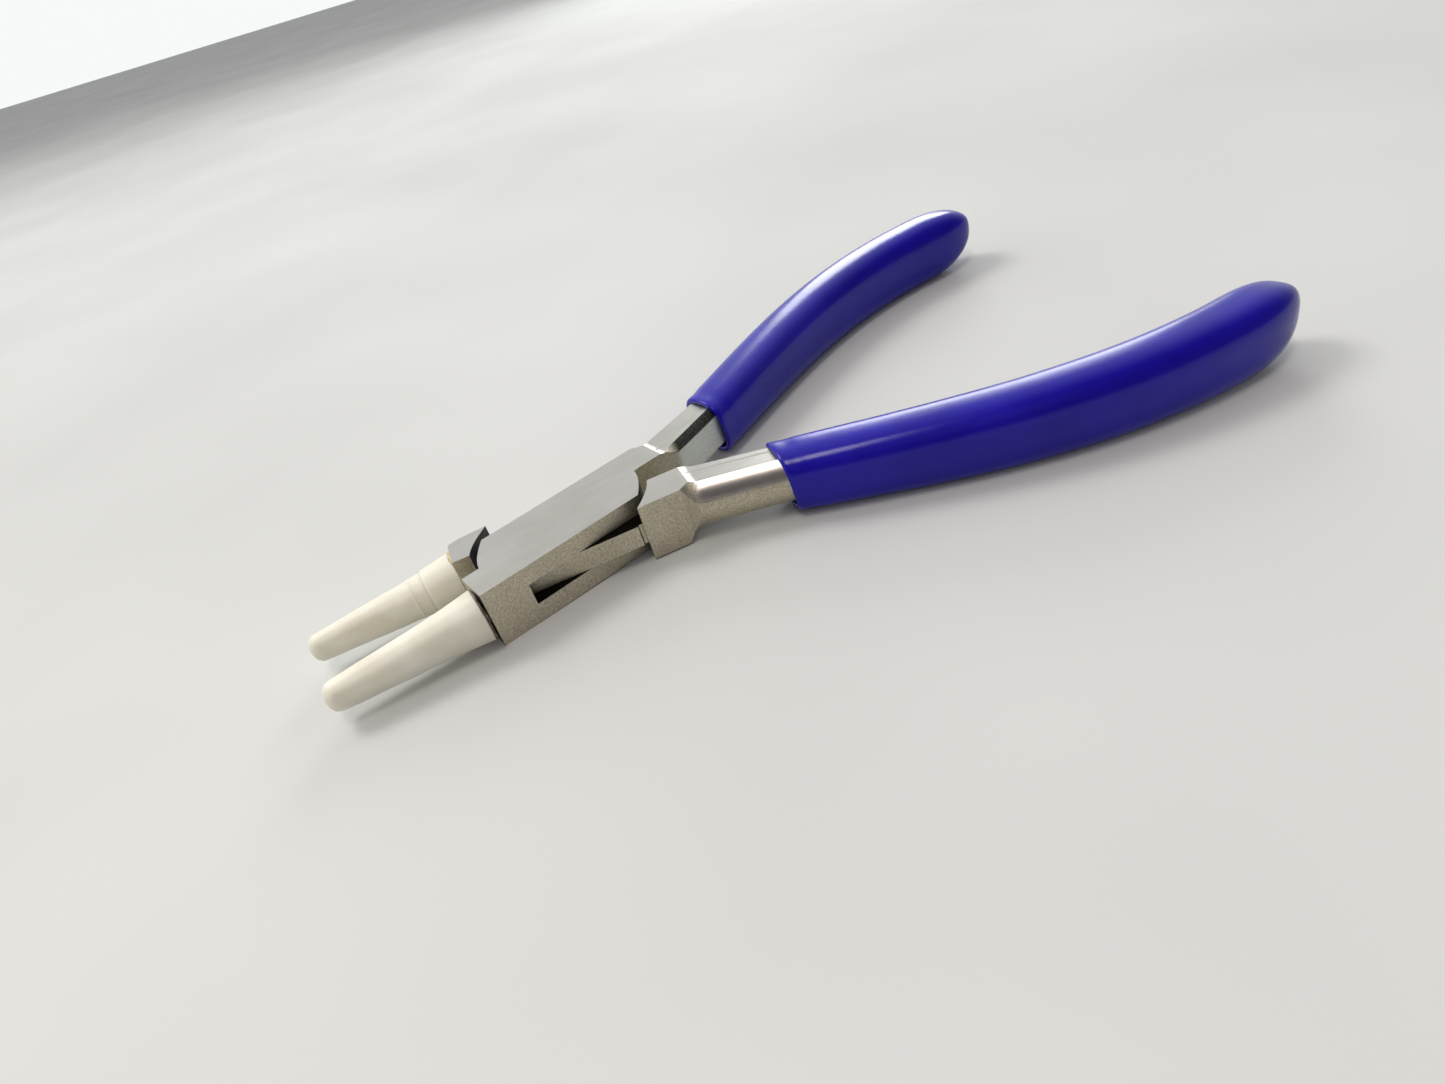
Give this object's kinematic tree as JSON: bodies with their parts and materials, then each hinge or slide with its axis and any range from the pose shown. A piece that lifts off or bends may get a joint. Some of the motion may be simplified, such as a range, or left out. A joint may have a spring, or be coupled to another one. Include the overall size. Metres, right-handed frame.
{
  "type": "round nose pliers",
  "caption": "Box-joint round nose pliers with cream nylon jaws and glossy dark blue dipped grips, lying open on their side.",
  "frame": {"origin": "on the pivot axis, at the underside of the box joint", "axes": "+Z along the pivot pin, up from the joint's underside; -Y towards the jaw tips; +Y towards the handles; +X towards the tenon half's handle"},
  "size_m": [0.0772, 0.1394, 0.0117],
  "materials": {
    "steel": "satin, fine ground grain",
    "pin_steel": "ground flush with the joint",
    "nylon": "cream nylon, slightly translucent",
    "adhesive": "cured clear glue, amber",
    "vinyl": "dipped vinyl, glossy deep blue"
  },
  "bodies": {
    "box_side": {"box_half": "steel", "pivot_pin": "pin_steel", "box_side_jaw": "nylon", "box_side_adhesive": "adhesive", "box_side_grip": "vinyl"},
    "tenon_side": {"tenon_half": "steel", "tenon_side_jaw": "nylon", "tenon_side_adhesive": "adhesive", "tenon_side_grip": "vinyl"}
  },
  "joints": [
    {"name": "pivot", "type": "hinge", "parent": "box_side", "child": "tenon_side", "pos_m": [0, 0, 0.0044], "axis": [0, 0, 1], "range_deg": [-23, 12.4]}
  ]
}
